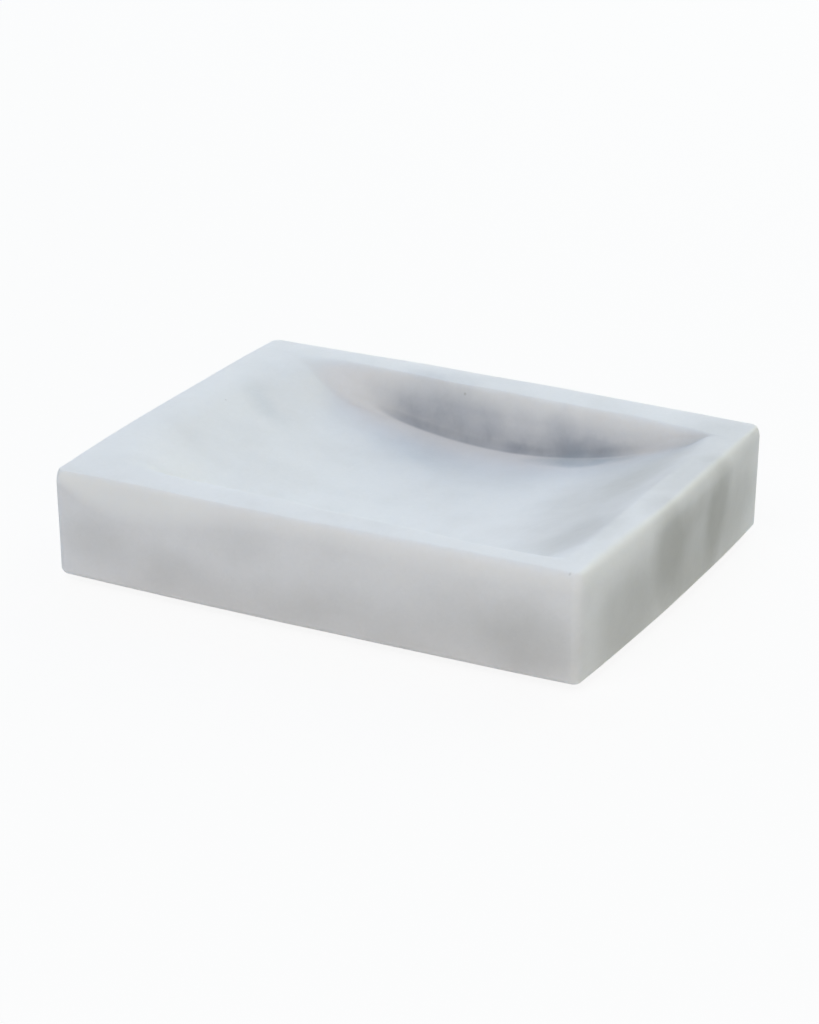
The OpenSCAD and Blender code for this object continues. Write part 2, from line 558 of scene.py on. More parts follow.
def block_skin():
    """Points, four-sided faces and the closing fan of the whole block."""
    rows, columns = grid.shape[:2]
    loop = border_loop(rows, columns)
    flat = grid.reshape(-1, 3)
    rings = block_rings(flat[loop])
    points = np.vstack([flat, *rings])
    count = len(loop)
    numbers = [loop]
    for k in range(len(rings) - 1):
        numbers.append(len(flat) + k * count + np.arange(count))
    bands = [
        np.stack([a, b, np.roll(b, -1), np.roll(a, -1)], axis=1)
        for a, b in zip(numbers, numbers[1:])
    ]
    last = numbers[-1]
    fan = np.stack([last, np.full(count, len(points) - 1), np.roll(last, -1)], axis=1)
    return points, np.vstack([grid_quads(rows, columns), *bands]), fan


def volume(points, quads, fan):
    """Sum of the signed volumes of the pyramids from the origin to every triangle."""
    triangles = np.vstack([quads[:, :3], quads[:, [0, 2, 3]], fan])
    a, b, c = (points[triangles[:, k]] for k in range(3))
    return (a * np.cross(b, c)).sum() / 6


block_points, block_quads, block_fan = block_skin()
block_volume = volume(block_points, block_quads, block_fan) * CENTIMETRES**3
print("block volume, cubic centimetres:", round(block_volume, 2))

# %% [markdown]
# Nothing ground by hand is quite flat. Every point is moved inwards along its normal, by less
# than a fifth of a millimetre. How far is a sum of sine waves that run through the stone in
# random directions: long ones for the sway of the hand, short ones for the polishing pad. Waves
# in space need no unwrapping, and they meet at every edge. The underside is left flat, so that
# it sits on the pads.

# %% The waves of the hand finish
FINISH_SEED = 7
# the shortest and the longest wave, and how deep they all go
LONG_WAVES = (0.018, 0.045, 0.00016)
SHORT_WAVES = (0.005, 0.009, 0.00002)
WAVES_EACH = 16
FLAT_ABOVE = 0.0006


def waves(points, shortest, longest, depth, rng):
    """A smooth field between 0 and depth: sine waves of random direction, length and phase."""
    direction = unit(rng.normal(size=(WAVES_EACH, 3)))
    length = rng.uniform(shortest, longest, WAVES_EACH)
    phase = rng.uniform(0, 2 * math.pi, WAVES_EACH)
    total = np.sin(points @ (direction * (2 * math.pi / length)[:, None]).T + phase).sum(axis=1)
    return depth * (0.5 + 0.5 * np.clip(total / math.sqrt(2 * WAVES_EACH), -1, 1))


def finish_by_hand(piece):
    """Moves each point inwards along its normal by the long and the short waves."""
    mesh = piece.data
    count = len(mesh.vertices)
    points = np.zeros(count * 3)
    normals = np.zeros(count * 3)
    mesh.vertices.foreach_get("co", points)
    mesh.vertex_normals.foreach_get("vector", normals)
    points = points.reshape(-1, 3)
    rng = np.random.default_rng(FINISH_SEED)
    depth = waves(points, *LONG_WAVES, rng) + waves(points, *SHORT_WAVES, rng)
    depth *= smooth_step(points[:, 2], BASE, BASE + FLAT_ABOVE)
    points -= normals.reshape(-1, 3) * depth[:, None]
    mesh.vertices.foreach_set("co", points.ravel())
    mesh.update()
    return depth


most = (LONG_WAVES[-1] + SHORT_WAVES[-1]) * MILLIMETRES
print("the hand finish could take up to", round(most, 3), "mm")

# %% [markdown]
# The block becomes a mesh. It carries two numbers at each of its points for the finish to read
# later: how far the point is from the crease, along which shade is painted, and how much hands
# have rubbed it, which makes an edge shinier and, as a painted highlight, paler. They belong to
# the shape, so they are worked out here, where the grid's rows and columns and the rings are still
# known. Elsewhere the crease counts as far away.

# %% The block
FAR_AWAY = 100.0


def make_mesh(name, points, faces):
    """A smooth-shaded mesh object at the origin, riding on the only body."""
    mesh = bpy.data.meshes.new(name)
    mesh.from_pydata(points.tolist(), [], faces)
    mesh.shade_smooth()
    piece = bpy.data.objects.new(name, mesh)
    bpy.context.scene.collection.objects.link(piece)
    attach(piece, "root")
    return piece


def add_attribute(piece, name, values):
    """A number at every point of the mesh, for the material to read."""
    layer = piece.data.attributes.new(name, "FLOAT", "POINT")
    layer.data.foreach_set("value", np.asarray(values, dtype=np.float32))


def wear_and_highlight_of_points():
    """The wear at every point of the block, which also sets its painted highlight: the lips'
    columns of the basin's grid, less where the section is melted, then the rings, and last the
    single point in the middle below."""
    across = np.zeros(grid.shape[1])
    lip = np.sin(2 * np.linspace(0, math.pi / 2, LIP_CELLS + 1))
    across[:len(lip)] = lip
    across[-len(lip):] = lip[::-1]
    basin = (1 - melting(stations()))[:, None] * across
    rings = np.repeat(ring_wear_and_highlight()[:-1], len(core))
    return np.concatenate([basin.ravel(), rings, [0]])


def crease_of_points():
    """The way to the crease, in millimetres, at every point of the block."""
    away = np.full(len(block_points), FAR_AWAY)
    away[:from_crease.size] = from_crease.ravel() * MILLIMETRES
    return away


block = make_mesh("marble_block", block_points, block_quads.tolist() + block_fan.tolist())
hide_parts("marble_dish")
taken = finish_by_hand(block)
add_attribute(block, "from_crease", crease_of_points())
# worn carries the rubbing, which gives the sheen, and the painted highlight of the edges
add_attribute(block, "worn", wear_and_highlight_of_points())
print("block:", len(block.data.vertices), "points")
print("the hand finish took up to", round(taken.max() * MILLIMETRES, 3), "mm")

# %% [markdown]
# The pads are round discs of milky polyurethane, with a sheet of glue on top. Each is a profile
# turned about its own upright axis: out along the glue, down the side, round the lower edge and
# back in to a shallow dish, so that its outer ring grips.

# %% Pads
PAD_NODES = ("pad_front_left", "pad_front_right", "pad_back_left", "pad_back_right")
GLUE_THICKNESS = 0.00015
GLUE_STEP_IN = 0.0003
PAD_EDGE = 0.0005
PAD_HOLLOW = 0.00012
PAD_SPOKES = 64
PAD_EDGE_CELLS = 8


def pad_profile(radius, height):
    """Distances from the axis and heights, from the middle of the top to the middle below. The
    underside is hollowed by a cosine, from nothing at its rim to the full hollow inside."""
    glue_radius = radius - GLUE_STEP_IN
    shoulder_z = height - GLUE_THICKNESS
    glue = [(0, height), (glue_radius, height), (glue_radius, shoulder_z), (radius, shoulder_z)]
    turn = np.linspace(0, math.pi / 2, PAD_EDGE_CELLS + 1)
    rounded = np.stack([
        radius - PAD_EDGE * (1 - np.cos(turn)),
        PAD_EDGE * (1 - np.sin(turn)),
    ], axis=1)
    inwards = np.linspace(1, 0, PAD_EDGE_CELLS + 1)[1:]
    hollow = np.stack([
        (radius - PAD_EDGE) * inwards,
        PAD_HOLLOW * (0.5 - 0.5 * np.cos(math.pi * (1 - inwards))),
    ], axis=1)
    return np.vstack([glue, rounded, hollow])


def turned_piece(name, profile, centre):
    """A profile turned about an upright axis: x and y are distance times cosine and sine of the
    turn. The first and last points of the profile lie on the axis and close it."""
    turn = np.arange(PAD_SPOKES) * 2 * math.pi / PAD_SPOKES
    rings = profile[1:-1]
    x = centre[0] + rings[:, :1] * np.cos(turn)
    y = centre[1] + rings[:, :1] * np.sin(turn)
    z = np.repeat(rings[:, 1:], PAD_SPOKES, axis=1)
    points = np.stack([x, y, z], axis=-1).reshape(-1, 3)
    ends = [(centre[0], centre[1], profile[0][1]), (centre[0], centre[1], profile[-1][1])]
    numbered = np.arange(len(points)).reshape(len(rings), PAD_SPOKES)
    a, b = numbered[:-1], numbered[1:]
    bands = np.stack([a, b, np.roll(b, -1, 1), np.roll(a, -1, 1)], axis=-1).reshape(-1, 4)
    first, last = numbered[0], numbered[-1]
    top = np.full(PAD_SPOKES, len(points))
    top_fan = np.stack([top, first, np.roll(first, -1)], axis=1)
    bottom_fan = np.stack([top + 1, np.roll(last, -1), last], axis=1)
    faces = bands.tolist() + top_fan.tolist() + bottom_fan.tolist()
    return make_mesh(name, np.vstack([points, ends]), faces)


pads = []
for node in PAD_NODES:
    low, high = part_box(node)
    centre = (low + high) / 2
    profile = pad_profile((high.x - low.x) / 2, high.z)
    pad = turned_piece(node.replace("pad", "grip_pad"), profile, centre)
    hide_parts(node)
    pads.append(pad)
print("pads:", [p.name for p in pads])

# %% [markdown]
# Now the finishes. Blender's materials are chains of small nodes, and the same few steps come
# back in each of them, so a few short helpers go first. Each adds one node, links or sets its
# inputs, and hands back its output.

# %% Helpers for nodes
def feed(tree, socket, value):
    """Links an output to this input, or writes a plain value into it."""
    if isinstance(value, bpy.types.NodeSocket):
        tree.links.new(value, socket)
    else:
        socket.default_value = value


def number(tree, operation, *values):
    """A Math node."""
    node = tree.nodes.new("ShaderNodeMath")
    node.operation = operation
    for socket, value in zip(node.inputs, values):
        feed(tree, socket, value)
    return node.outputs[0]


def vector(tree, operation, *values):
    """A Vector Math node. A length or dot product comes out as a number."""
    node = tree.nodes.new("ShaderNodeVectorMath")
    node.operation = operation
    for socket, value in zip(node.inputs, values):
        feed(tree, socket, value)
    return node.outputs["Value" if operation in ("LENGTH", "DOT_PRODUCT") else "Vector"]


def scaled(tree, place, factor):
    """A vector times one number."""
    node = tree.nodes.new("ShaderNodeVectorMath")
    node.operation = "SCALE"
    feed(tree, node.inputs["Vector"], place)
    feed(tree, node.inputs["Scale"], factor)
    return node.outputs["Vector"]


def remap(tree, value, low, high, to_low=0.0, to_high=1.0):
    """A smooth step from one range to another, flat outside it."""
    node = tree.nodes.new("ShaderNodeMapRange")
    node.interpolation_type = "SMOOTHSTEP"
    titles = ("Value", "From Min", "From Max", "To Min", "To Max")
    for title, given in zip(titles, (value, low, high, to_low, to_high)):
        feed(tree, node.inputs[title], given)
    return node.outputs["Result"]


def mixed(tree, share, first, second):
    """One colour over another, by share."""
    node = tree.nodes.new("ShaderNodeMix")
    node.data_type = "RGBA"
    feed(tree, node.inputs["Factor"], share)
    feed(tree, node.inputs["A"], first)
    feed(tree, node.inputs["B"], second)
    return node.outputs["Result"]


node_helpers = (feed, number, vector, scaled, remap, mixed)
print("helpers for nodes:", [f.__name__ for f in node_helpers])

# %% [markdown]
# The next helpers say where a pattern lies and how it looks. All patterns are thought out in
# millimetres, because that is the scale of veins and crystals, so the object's coordinates are
# first turned into those.

# %% Helpers for patterns
def millimetres(tree):
    """Object coordinates, in millimetres."""
    place = tree.nodes.new("ShaderNodeTexCoord").outputs["Object"]
    return scaled(tree, place, MILLIMETRES)


def coordinate(tree, place, axis):
    """One of a place's three coordinates."""
    node = tree.nodes.new("ShaderNodeSeparateXYZ")
    feed(tree, node.inputs["Vector"], place)
    return node.outputs[axis]


def attribute(tree, name):
    """A number that the mesh carries at its points."""
    node = tree.nodes.new("ShaderNodeAttribute")
    node.attribute_name = name
    return node.outputs["Fac"]


def pattern(tree, kind, place, size, **values):
    """A texture node, Noise or Voronoi, with spots about size millimetres across. The node wants
    how many spots go into a millimetre, which is one divided by the size."""
    node = tree.nodes.new("ShaderNodeTex" + kind)
    feed(tree, node.inputs["Vector"], place)
    feed(tree, node.inputs["Scale"], number(tree, "DIVIDE", 1.0, size))
    for title, value in values.items():
        feed(tree, node.inputs[title], value)
    return node.outputs


def patches(tree, place, size, detail, *ranges):
    """Soft random patches of a size: noise, stretched between two ranges as remap does it."""
    spots = pattern(tree, "Noise", place, size, Detail=detail)["Fac"]
    return remap(tree, spots, *ranges)


pattern_helpers = (millimetres, coordinate, attribute, pattern, patches)
print("helpers for patterns:", [f.__name__ for f in pattern_helpers])

# %% [markdown]
# A node group is a small machine with named inputs and outputs, built once and placed wherever
# it is needed with other values. One helper makes an empty group, and the other places one.

# %% Helpers for node groups
def new_group(name, inputs, outputs):
    """An empty node group with named inputs (name: socket type and default) and outputs."""
    group = bpy.data.node_groups.new(name, "ShaderNodeTree")
    for title, (kind, default) in inputs.items():
        socket = group.interface.new_socket(title, in_out="INPUT", socket_type="NodeSocket" + kind)
        socket.default_value = default
    for title, kind in outputs.items():
        group.interface.new_socket(title, in_out="OUTPUT", socket_type="NodeSocket" + kind)
    given = group.nodes.new("NodeGroupInput").outputs
    result = group.nodes.new("NodeGroupOutput").inputs
    return group, given, result


def placed(tree, group, **values):
    """A node group placed in a tree, with its own values."""
    node = tree.nodes.new("ShaderNodeGroup")
    node.node_tree = group
    for title, value in values.items():
        feed(tree, node.inputs[title], value)
    return node.outputs


group_helpers = (new_group, placed)
print("helpers for groups:", [f.__name__ for f in group_helpers])

# %% [markdown]
# Marble was once lime mud, and its grey is clay that was folded and smeared while the rock was
# soft. So the veins are bodies in space, and a cut face shows where it meets them: a grey patch
# on the basin's wall goes on into the floor. Painting each face alone would never give that.
# The clouds are therefore built in three dimensions. One cloud is a soft ellipsoid that can be
# turned. Before that its space is bent by slow noise, as the rock was, which frays its border.
#
# Both steps are node groups. The first is placed for each bend, and the second for each cloud,
# and wherever else a soft ellipsoid is wanted.

# %% Bent space and one cloud
ORIGIN = (0, 0, 0)
MIDDLE_GREY = (0.5, 0.5, 0.5)
BEND_DETAIL = 3.0


def build_bent_space():
    """The place, moved by slow noise: noise colours run from 0 to 1, so half is taken off, and
    twice the amount makes up for that."""
    tree, given, result = new_group(
        "bent_space",
        {"Place": ("Vector", ORIGIN), "Size": ("Float", 10.0), "Amount": ("Float", 1.0)},
        {"Place": "Vector"},
    )
    spots = pattern(tree, "Noise", given["Place"], given["Size"], Detail=BEND_DETAIL)
    centred = vector(tree, "SUBTRACT", spots["Color"], MIDDLE_GREY)
    reach = number(tree, "MULTIPLY", given["Amount"], 2.0)
    feed(tree, result["Place"], vector(tree, "ADD", given["Place"], scaled(tree, centred, reach)))
    return tree


def build_stone_cloud():
    """1 in the core of a turned ellipsoid and 0 outside it: the distance from its centre is
    measured after the place is turned back and divided by the three half sizes."""
    tree, given, result = new_group(
        "stone_cloud",
        {
            "Place": ("Vector", ORIGIN),
            "Centre": ("Vector", ORIGIN),
            "Half Size": ("Vector", (10, 10, 10)),
            "Turn": ("Vector", ORIGIN),
            "Core": ("Float", 0.2),
        },
        {"Mask": "Float"},
    )
    turn_back = tree.nodes.new("ShaderNodeVectorRotate")
    turn_back.rotation_type = "EULER_XYZ"
    turn_back.invert = True
    from_centre = vector(tree, "SUBTRACT", given["Place"], given["Centre"])
    feed(tree, turn_back.inputs["Vector"], from_centre)
    feed(tree, turn_back.inputs["Rotation"], given["Turn"])
    shrunk = vector(tree, "DIVIDE", turn_back.outputs["Vector"], given["Half Size"])
    distance = vector(tree, "LENGTH", shrunk)
    feed(tree, result["Mask"], remap(tree, distance, 1.0, given["Core"]))
    return tree


bent_space = build_bent_space()
stone_cloud = build_stone_cloud()
print("node groups:", bent_space.name, "and", stone_cloud.name)

# %% [markdown]
# Three more groups hold the small things. Marble is a mesh of crystals, and a moulded pad has a
# fine grain too, so grain is one group with its size as an input. Where a crystal fell out of the
# stone, it left a pit. And dust gathers at the foot of whatever stands on a wash stand.

# %% Grain, pits and dust
TONE_WEIGHTS = (0.34, 0.33, 0.33)
FINER = 3.0
ROUNDING = 0.5
# size and detail of the dust's patches, and the range of the noise that they fill
DUST_PATCHES = (2.5, 4.0, 0.35, 0.7)


def build_grain():
    """Crystals of one size: a cell pattern for their faces over finer noise. Tone is a little
    different in each cell, and Height is rounded within it."""
    tree, given, result = new_group(
        "grain",
        {"Place": ("Vector", ORIGIN), "Size": ("Float", 0.8)},
        {"Tone": "Float", "Height": "Float"},
    )
    cells = pattern(tree, "Voronoi", given["Place"], given["Size"])
    fine_size = number(tree, "DIVIDE", given["Size"], FINER)
    fine = pattern(tree, "Noise", given["Place"], fine_size)["Fac"]
    round_face = number(tree, "SUBTRACT", 1.0, cells["Distance"])
    feed(tree, result["Tone"], vector(tree, "DOT_PRODUCT", cells["Color"], TONE_WEIGHTS))
    feed(tree, result["Height"], number(tree, "MULTIPLY_ADD", round_face, ROUNDING, fine))
    return tree


def build_pits():
    """Small round pits, where a crystal fell out: a cell pattern in which only a share of the
    cells has one, as wide as Radius in millimetres."""
    tree, given, result = new_group(
        "pits",
        {
            "Place": ("Vector", ORIGIN),
            "Spacing": ("Float", 9.0),
            "Radius": ("Float", 0.3),
            "Share": ("Float", 0.3),
        },
        {"Mask": "Float"},
    )
    cells = pattern(tree, "Voronoi", given["Place"], given["Spacing"])
    distance = number(tree, "MULTIPLY", cells["Distance"], given["Spacing"])
    hollow = remap(tree, distance, given["Radius"], 0.0)
    has_one = number(tree, "LESS_THAN", coordinate(tree, cells["Color"], "X"), given["Share"])
    feed(tree, result["Mask"], number(tree, "MULTIPLY", hollow, has_one))
    return tree


def build_low_dust():
    """Dust and dried splashes near the surface that the dish stands on: from full at the
    bottom to none at Top, broken up by noise."""
    tree, given, result = new_group(
        "low_dust",
        {"Place": ("Vector", ORIGIN), "Top": ("Float", 2.0)},
        {"Mask": "Float"},
    )
    height = remap(tree, coordinate(tree, given["Place"], "Z"), given["Top"], 0.0)
    broken = patches(tree, given["Place"], *DUST_PATCHES)
    feed(tree, result["Mask"], number(tree, "MULTIPLY", height, broken))
    return tree


grain = build_grain()
pits = build_pits()
low_dust = build_low_dust()
print("node groups:", sorted(g.name for g in bpy.data.node_groups))

# %% [markdown]
# The picture shows where this block's clouds lie, so each is placed by its name: a bluish body
# that the basin's back wall cuts through, with its darkest part, grey and painted shade, along the
# foot of the wall; a haze through the right end, partly painted shade on the basin's right slope;
# two steep veins that come out on the right face; and faint clouds in the front, with painted
# shade low along it. The ones on the back and on the left end are invented in the same manner,
# because no picture shows them.
#
# The grey of all clouds is gathered as what is left of the white: each takes its share of what
# the ones before left. A sum is kept for each kind: bluish grey, plain grey with some painted
# shade, and the bluish grey and painted shade of the wall.

# %% Clouds of this block
WALL, BLUE, PLAIN = "wall", "blue", "plain"
CLOUDS = {
    # name: centre and half sizes in millimetres, turn in degrees, core, strength, kind
    "wall_body": ((-13, 41.2, 19.2), (23, 11, 11), (0, 10, 0), 0.2, 0.55, WALL),
    # the three clouds at the wall's foot are bluish grey and painted shade along the foot of the
    # wall
    "foot_grey_and_shade_left": ((-11.3, 40.6, 15.6), (22, 8, 4.5), (0, 15, 0), 0.3, 0.30, WALL),
    "foot_grey_and_shade_middle": ((12.7, 40.6, 13.2), (36, 9, 7), (0, -3, 0), 0.2, 0.50, WALL),
    "foot_grey_and_shade_right": ((22.7, 40.6, 15.6), (16, 8, 6), (0, -5, 0), 0.3, 0.55, WALL),
    "wall_smudge": ((17.7, 40.6, 20.6), (6, 9, 7), (0, 0, 0), 0.1, 0.27, WALL),
    "wall_haze": ((8.7, 40.6, 15.6), (48, 12, 12), (0, 0, 0), 0.4, 0.28, WALL),
    "foot_strip": ((25, 34.8, 15.5), (18, 5, 7), (0, -8, 0), 0.3, 0.52, BLUE),
    "floor_patch": ((-13.8, 28.5, 13.5), (23, 10, 7), (0, 0, -14), 0.0, 0.20, BLUE),
    "left_streak": ((-48, 17, 22), (14, 5, 12), (0, 0, -30), 0.0, 0.17, BLUE),
    # the right end's haze is partly painted shade on the basin's right slope; the two slope clouds
    # below it are painted shade
    "right_haze_and_shade": ((50, 4, 12), (26, 58, 19), (0, 0, 0), 0.3, 0.46, PLAIN),
    "slope_far_shade": ((49, 19, 20), (12, 22, 9), (0, 0, -15), 0.2, 0.36, PLAIN),
    "slope_near_shade": ((52, -22, 22), (12, 19, 10), (0, 0, 0), 0.3, 0.34, PLAIN),
    "rim_far_haze": ((58, 37, 26), (18, 22, 8), (0, 0, 0), 0.2, 0.15, PLAIN),
    "rim_right_haze": ((60.5, 14, 26.5), (8, 19, 4), (0, 0, 0), 0.3, 0.22, PLAIN),
    "end_vein_near": ((65, -5, 17), (12, 13.5, 15), (22, 0, 0), 0.3, 0.60, PLAIN),
    "end_vein_far": ((65, 21.5, 15.5), (12, 9, 15.5), (-15, 0, 0), 0.3, 0.68, PLAIN),
    "end_top_haze": ((65, 10, 20.5), (9, 32, 6.5), (0, 0, 0), 0.2, 0.22, PLAIN),
    "end_low_haze": ((65, 12, 12), (10, 36, 16), (0, 0, 0), 0.4, 0.34, PLAIN),
    "end_far_haze": ((65, 38, 12), (10, 16, 16), (0, 0, 0), 0.2, 0.22, PLAIN),
    "end_near_haze": ((65, -28, 10), (10, 21, 14), (0, 0, 0), 0.3, 0.36, PLAIN),
    # painted shade: the front face darker towards its bottom
    "front_low_shade": ((5, -50, 5), (80, 9, 11), (0, 0, 0), 0.1, 0.17, PLAIN),
    "front_right_cloud": ((36, -50, 13), (28, 9, 10), (0, 0, 0), 0.1, 0.14, PLAIN),
    "front_corner_cloud": ((53, -50, 10), (16, 9, 12), (0, 0, 0), 0.2, 0.27, PLAIN),
    "front_middle_cloud": ((-18, -50, 18), (16, 9, 8), (0, -12, 0), 0.1, 0.12, PLAIN),
    "front_left_cloud": ((-54, -50, 11.5), (17, 10, 9), (0, 0, 0), 0.1, 0.22, PLAIN),
    "front_low_cloud": ((-32, -50, 9), (14, 10, 7), (0, 0, 0), 0.1, 0.12, PLAIN),
    "back_vein": ((30, 50, 15), (26, 9, 6), (0, 22, 0), 0.0, 0.34, PLAIN),
    "back_haze": ((-14, 50, 10), (44, 9, 12), (0, 6, 0), 0.1, 0.24, PLAIN),
    "left_vein": ((-65, 10, 14), (9, 27, 7), (20, 0, 0), 0.0, 0.30, PLAIN),
    "left_haze": ((-65, -16, 8), (9, 32, 11), (0, 0, 0), 0.1, 0.20, PLAIN),
    "under_cloud": ((-10, -5, 0), (45, 20, 8), (0, 0, 25), 0.2, 0.35, BLUE),
}


def all_clouds(tree, place, kind):
    """How much grey of one kind there is: 1 less the product of what each cloud leaves."""
    left = 1.0
    for centre, half_size, turn, core_share, strength, own_kind in CLOUDS.values():
        if own_kind != kind:
            continue
        radians = [math.radians(a) for a in turn]
        shape = {"Centre": centre, "Half Size": half_size, "Turn": radians, "Core": core_share}
        mask = placed(tree, stone_cloud, Place=place, **shape)["Mask"]
        leaves = number(tree, "MULTIPLY_ADD", mask, -strength, 1.0)
        left = number(tree, "MULTIPLY", leaves, left)
    return number(tree, "SUBTRACT", 1.0, left)


for kind in (WALL, BLUE, PLAIN):
    print(kind, "clouds:", sum(cloud[-1] == kind for cloud in CLOUDS.values()))

# %% [markdown]
# The colour is mixed in layers, mostly as the stone has them: white, then the three greys one over
# the other, then crystals that differ a little in tone, and last what is laid on top. A faint grey
# line of painted shade lies in the crease, the rounded edges are painted paler as a highlight,
# most of all near the left end of the front, and a few pits have caught dirt.
#
# The wall's grey is partly painted shade, and it ends at a plane along the foot of the wall, so
# the floor in front of it stays white, and only a tenth of the grey goes on there.

# %% The colour of the stone
# places, sizes and reaches are in millimetres
# where the wall's grey and painted shade end, along the foot of the wall
WALL_FOOT_EDGE = (37.9, 38.9)
STONE_WHITE = (0.868, 0.864, 0.878, 1)
# the wall's grey, which also serves as painted shade at its foot
WALL_GREY_AND_SHADE = (0.415, 0.440, 0.500, 1)
BLUE_GREY = (0.395, 0.480, 0.550, 1)
PLAIN_GREY = (0.430, 0.425, 0.405, 1)
BENDS = ({"Size": 15.0, "Amount": 2.4}, {"Size": 3.5, "Amount": 1.0})
# size and detail of soft patches, the range of the noise, and the range that it becomes
MOTTLE = (16.0, 3.0, 0.35, 0.75, 0.0, 0.10)
PATCHY = (6.0, 3.0, 0.3, 0.7, 0.8, 1.12)
# painted shade along the crease: how far it reaches, where it is strong, and its shares
CREASE_REACH = (5.0, 0.4)
CREASE_PATCH = {"Centre": (4.7, 39.6, 14.7), "Half Size": (44, 9, 14), "Core": 0.5}
CREASE_SHARES = (0.85, 0.03)
IN_FRONT_SHARE = 0.1
CRYSTAL_TONES = (0.03, 0.985)
# painted highlight: the rounded edges are mixed towards white, most at one place near the left end
# of the front
HIGHLIGHT_WHITE = (0.955, 0.957, 0.960, 1)
EDGE_HIGHLIGHT_SHARE = 0.30
HIGHLIGHT_MORE = 0.60
HIGHLIGHT_PLACE = {"Centre": (-52, -50, 24), "Half Size": (36, 14, 16), "Core": 0.4}
HOLE_DIRT = 0.5


def crease_shade(tree, frayed):
    """The painted shade in the crease: it fades out a few millimetres from it, and is strong only
    where one long cloud of the wall meets it."""
    # painted shade, darkest in the crease and gone a few millimetres from it
    near = remap(tree, attribute(tree, "from_crease"), *CREASE_REACH)
    patch = placed(tree, stone_cloud, Place=frayed, **CREASE_PATCH)["Mask"]
    return number(tree, "MULTIPLY", near, number(tree, "MULTIPLY_ADD", patch, *CREASE_SHARES))


def wall_grey_and_shade(tree, place, frayed):
    """The wall's grey and painted shade: the larger of its clouds and the painted crease shade,
    which ends at a plane that runs along the basin's wall, askew in the block like the basin."""
    grey = number(tree, "MAXIMUM", all_clouds(tree, frayed, WALL), crease_shade(tree, frayed))
    x, y = (coordinate(tree, place, axis) for axis in "XY")
    behind = remap(tree, number(tree, "MULTIPLY_ADD", x, SKEW, y), *WALL_FOOT_EDGE, IN_FRONT_SHARE, 1.0)
    return number(tree, "MULTIPLY", grey, behind)


def stone_color(tree, place, worn, crystals, holes):
    """The layers in their order. Each mix lays one colour over what is there, by a share."""
    frayed = place
    for bend in BENDS:
        frayed = placed(tree, bent_space, Place=frayed, **bend)["Place"]
    patchy = patches(tree, frayed, *PATCHY)
    # the wall's grey, partly painted shade
    wall_grey_and_shade_share = number(tree, "MULTIPLY", wall_grey_and_shade(tree, place, frayed), patchy)
    blue_share = number(tree, "MULTIPLY", all_clouds(tree, frayed, BLUE), patchy)
    mottle = patches(tree, frayed, *MOTTLE)
    plain_share = number(tree, "ADD", all_clouds(tree, frayed, PLAIN), mottle)
    color = mixed(tree, wall_grey_and_shade_share, STONE_WHITE, WALL_GREY_AND_SHADE)
    color = mixed(tree, blue_share, color, BLUE_GREY)
    color = mixed(tree, plain_share, color, PLAIN_GREY)
    color = scaled(tree, color, number(tree, "MULTIPLY_ADD", crystals["Tone"], *CRYSTAL_TONES))
    # painted highlight on the rounded edges
    bright_place = placed(tree, stone_cloud, Place=place, **HIGHLIGHT_PLACE)["Mask"]
    highlight_share = number(tree, "MULTIPLY_ADD", bright_place, HIGHLIGHT_MORE, EDGE_HIGHLIGHT_SHARE)
    color = mixed(tree, number(tree, "MULTIPLY", worn, highlight_share), color, HIGHLIGHT_WHITE)
    return mixed(tree, number(tree, "MULTIPLY", holes, HOLE_DIRT), color, PLAIN_GREY)


print("colour layers from", STONE_WHITE[:3], "to", WALL_GREY_AND_SHADE[:3])

# %% [markdown]
# The stone's finish is honed: ground flat and never polished, so its shine is broad and weak,
# and a little stronger where edges are rubbed. Light goes a few millimetres into marble before
# it comes out again, and that is what makes it look soft and whole where a painted block looks
# hard. Subsurface scattering does this. The relief of crystals and pits is far too fine for the
# mesh, so a bump of a few hundredths of a millimetre stands for it.

# %% Marble
CRYSTAL_SIZE = 0.7
PITS = {"Spacing": 11.0, "Radius": 0.35, "Share": 0.12}
FLECKS = ((-7.5, 40.2, 24.3), (60.6, -48.7, 26.2))
FLECK_SIZE = {"Half Size": (0.5, 1.8, 0.5)}
SANDED = (7.0, 3.0, 0.3, 0.7, 0.48, 0.58)
RUBBED_SHEEN = -0.06
RIPPLE_SIZE = 2.2
CRYSTAL_RELIEF = 0.25
HOLE_RELIEF = -3.0
BUMP_STRENGTH = 0.5
BUMP_DEPTH = 0.00003
SCATTER_DEPTH = 0.0020
SCATTER_TINT = (1.0, 0.96, 0.92)


def shader_of(material):
    """The Principled shader of a new node material."""
    material.use_nodes = True
    return material.node_tree.nodes["Principled BSDF"]


def fine_relief(tree, height):
    """A normal that follows a relief too fine to be seen as a shape."""
    node = tree.nodes.new("ShaderNodeBump")
    node.inputs["Strength"].default_value = BUMP_STRENGTH
    node.inputs["Distance"].default_value = BUMP_DEPTH
    feed(tree, node.inputs["Height"], height)
    return node.outputs["Normal"]


def light_inside(shader, weight, tint, depth):
    """Lets light into the material, to a depth in metres that the tint changes by colour."""
    shader.inputs["Subsurface Weight"].default_value = weight
    shader.inputs["Subsurface Radius"].default_value = tint
    shader.inputs["Subsurface Scale"].default_value = depth


def all_holes(tree, place):
    """Pits spread through the stone, and the two flecks that the picture shows."""
    holes = placed(tree, pits, Place=place, **PITS)["Mask"]
    for centre in FLECKS:
        fleck = placed(tree, stone_cloud, Place=place, Centre=centre, **FLECK_SIZE)["Mask"]
        holes = number(tree, "MAXIMUM", holes, fleck)
    return holes


